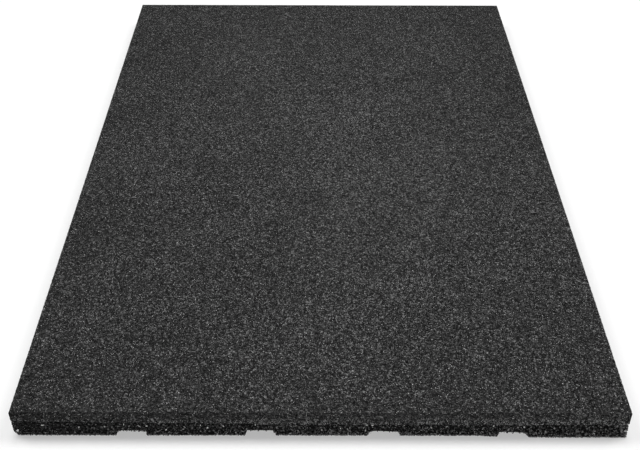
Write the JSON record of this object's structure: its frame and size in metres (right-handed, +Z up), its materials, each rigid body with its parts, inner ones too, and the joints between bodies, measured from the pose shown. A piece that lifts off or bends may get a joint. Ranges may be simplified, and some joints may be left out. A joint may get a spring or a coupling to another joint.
{
  "type": "rubber safety mat",
  "caption": "Thick rectangular slab of bound black rubber granulate with drainage channels along its underside, laid loose as a shock-absorbing floor.",
  "frame": {"origin": "middle of the underside, on the floor that the mat lies on", "axes": "+X across the width, +Y along the length and the drainage channels, away from the end that the picture shows, +Z up through the thickness"},
  "size_m": [1, 1.5, 0.055],
  "materials": {
    "black_granulate": "dull open-grained surface of pressed black rubber granulate, fine on top and coarse below"
  },
  "bodies": {
    "root": {"rubber_mat": "black_granulate"}
  },
  "joints": []
}
